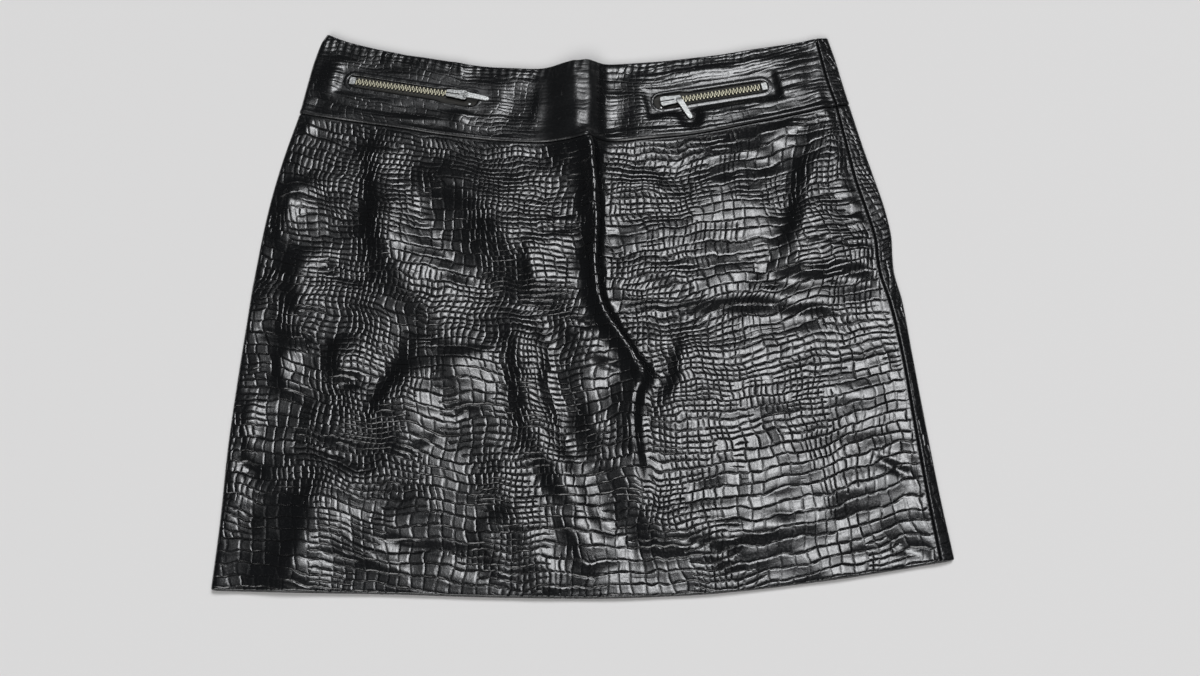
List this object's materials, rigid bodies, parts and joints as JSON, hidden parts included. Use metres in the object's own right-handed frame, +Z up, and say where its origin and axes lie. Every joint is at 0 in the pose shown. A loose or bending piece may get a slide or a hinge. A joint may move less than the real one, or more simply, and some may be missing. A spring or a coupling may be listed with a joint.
{
  "type": "leather mini skirt",
  "caption": "Short black embossed leather skirt laid flat, with a contoured yoke, slanted metal pocket zips, plain panels and a concealed back zip.",
  "frame": {"origin": "middle of the garment's plan outline, on the surface it lies on", "axes": "+X across the skirt to the viewer's right, +Y from the hem to the waist, +Z up off the surface, out of the front"},
  "size_m": [0.4822, 0.4342, 0.0197],
  "materials": {
    "leather": "glossy black cowhide embossed with a crocodile grain",
    "zip_tape": "woven dark olive-grey polyester tape",
    "zip_teeth": "stamped antique brass teeth",
    "zip_hardware": "cast zinc, bright nickel plating"
  },
  "bodies": {
    "skirt": {"front_panel": "leather", "front_yoke": "leather", "back_panel_left": "leather", "back_panel_right": "leather", "back_yoke_left": "leather", "back_yoke_right": "leather", "left_pocket_tape": "zip_tape", "left_pocket_chain": "zip_teeth", "left_pocket_stop": "zip_hardware", "left_pocket_bead": "zip_hardware", "left_pocket_slider": "zip_hardware", "right_pocket_tape": "zip_tape", "right_pocket_chain": "zip_teeth", "right_pocket_stop": "zip_hardware", "right_pocket_bead": "zip_hardware", "right_pocket_slider": "zip_hardware", "back_zip_tape": "zip_tape", "back_zip_slider": "zip_hardware"},
    "left_pull": {"left_pocket_pull": "zip_hardware"},
    "right_pull": {"right_pocket_pull": "zip_hardware"}
  },
  "joints": [
    {"name": "left_pull_hinge", "type": "hinge", "parent": "skirt", "child": "left_pull", "pos_m": [-0.0929, 0.16031, 0.0086], "axis": [-0.1891, -0.982, 0], "range_deg": [0, 165]},
    {"name": "right_pull_hinge", "type": "hinge", "parent": "skirt", "child": "right_pull", "pos_m": [0.06924, 0.15677, 0.0086], "axis": [-0.8746, -0.4848, 0], "range_deg": [0, 165]}
  ]
}
